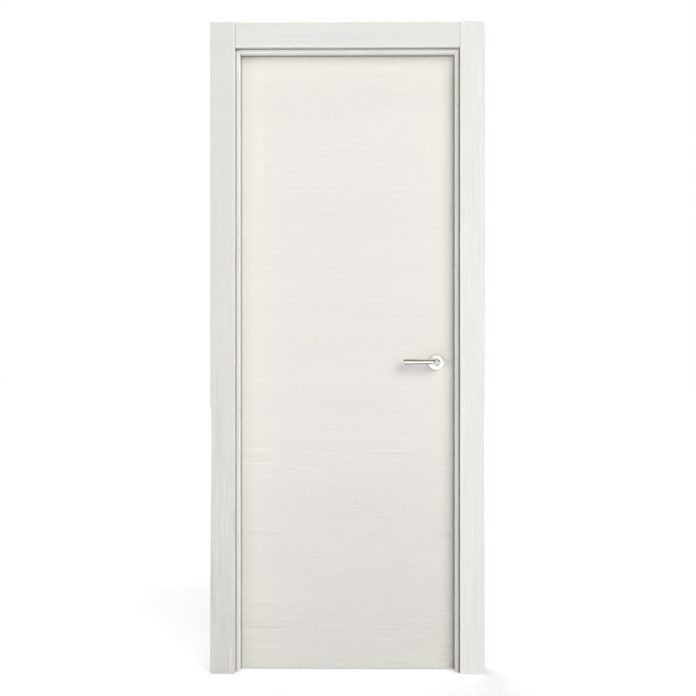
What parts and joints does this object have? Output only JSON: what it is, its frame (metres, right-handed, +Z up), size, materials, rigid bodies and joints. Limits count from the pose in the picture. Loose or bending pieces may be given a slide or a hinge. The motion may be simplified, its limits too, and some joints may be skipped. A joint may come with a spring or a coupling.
{
  "type": "interior door",
  "caption": "Flush solid core interior door in a rebated frame with square-edged architraves, butt hinges, mortise latch and lever handles on round roses.",
  "frame": {"origin": "on the hinge jamb's wall face, at floor level and at mid depth of the frame", "axes": "+X along the wall from the hinge side to the lock side, +Y the way the leaf opens, +Z up; the pictured side faces -Y"},
  "size_m": [0.9085, 0.138, 2.128],
  "materials": {
    "frame_laminate": "satin",
    "architrave_laminate": "satin",
    "leaf_laminate": "satin",
    "core_board": "matte",
    "seal_rubber": "matte",
    "hinge_steel": "satin",
    "plate_steel": "satin",
    "handle_nickel": "satin"
  },
  "bodies": {
    "frame": {"hinge_jamb": "frame_laminate", "lock_jamb": "frame_laminate", "frame_head": "frame_laminate", "hinge_seal": "seal_rubber", "lock_seal": "seal_rubber", "head_seal": "seal_rubber", "front_architrave_hinge_side": "architrave_laminate", "front_architrave_lock_side": "architrave_laminate", "front_architrave_head": "architrave_laminate", "back_architrave_hinge_side": "architrave_laminate", "back_architrave_lock_side": "architrave_laminate", "back_architrave_head": "architrave_laminate", "front_tongue_hinge_side": "architrave_laminate", "front_tongue_lock_side": "architrave_laminate", "front_tongue_head": "architrave_laminate", "back_tongue_hinge_side": "architrave_laminate", "back_tongue_lock_side": "architrave_laminate", "back_tongue_head": "architrave_laminate", "strike_plate": "plate_steel", "bottom_hinge_frame_flap": "hinge_steel", "middle_hinge_frame_flap": "hinge_steel", "top_hinge_frame_flap": "hinge_steel", "bottom_hinge_pin": "hinge_steel", "middle_hinge_pin": "hinge_steel", "top_hinge_pin": "hinge_steel"},
    "leaf": {"leaf_core": "core_board", "leaf_front_skin": "leaf_laminate", "leaf_back_skin": "leaf_laminate", "leaf_hinge_lipping": "leaf_laminate", "leaf_lock_lipping": "leaf_laminate", "bottom_hinge_leaf_flap": "hinge_steel", "middle_hinge_leaf_flap": "hinge_steel", "top_hinge_leaf_flap": "hinge_steel", "mortise_latch": "plate_steel", "latch_bolt": "plate_steel", "front_rose": "handle_nickel", "back_rose": "handle_nickel"},
    "levers": {"front_lever": "handle_nickel", "back_lever": "handle_nickel", "spindle": "plate_steel"}
  },
  "joints": [
    {"name": "leaf_swing", "type": "hinge", "parent": "frame", "child": "leaf", "pos_m": [0.0225, 0.0435, 0], "axis": [0, 0, 1], "range_deg": [0, 170]},
    {"name": "lever_turn", "type": "hinge", "parent": "leaf", "child": "levers", "pos_m": [0.68, 0.0175, 1.013], "axis": [0, -1, 0], "range_deg": [0, 45], "stiffness_Nm_per_rad": 1.2, "springref_deg": -28.65}
  ]
}
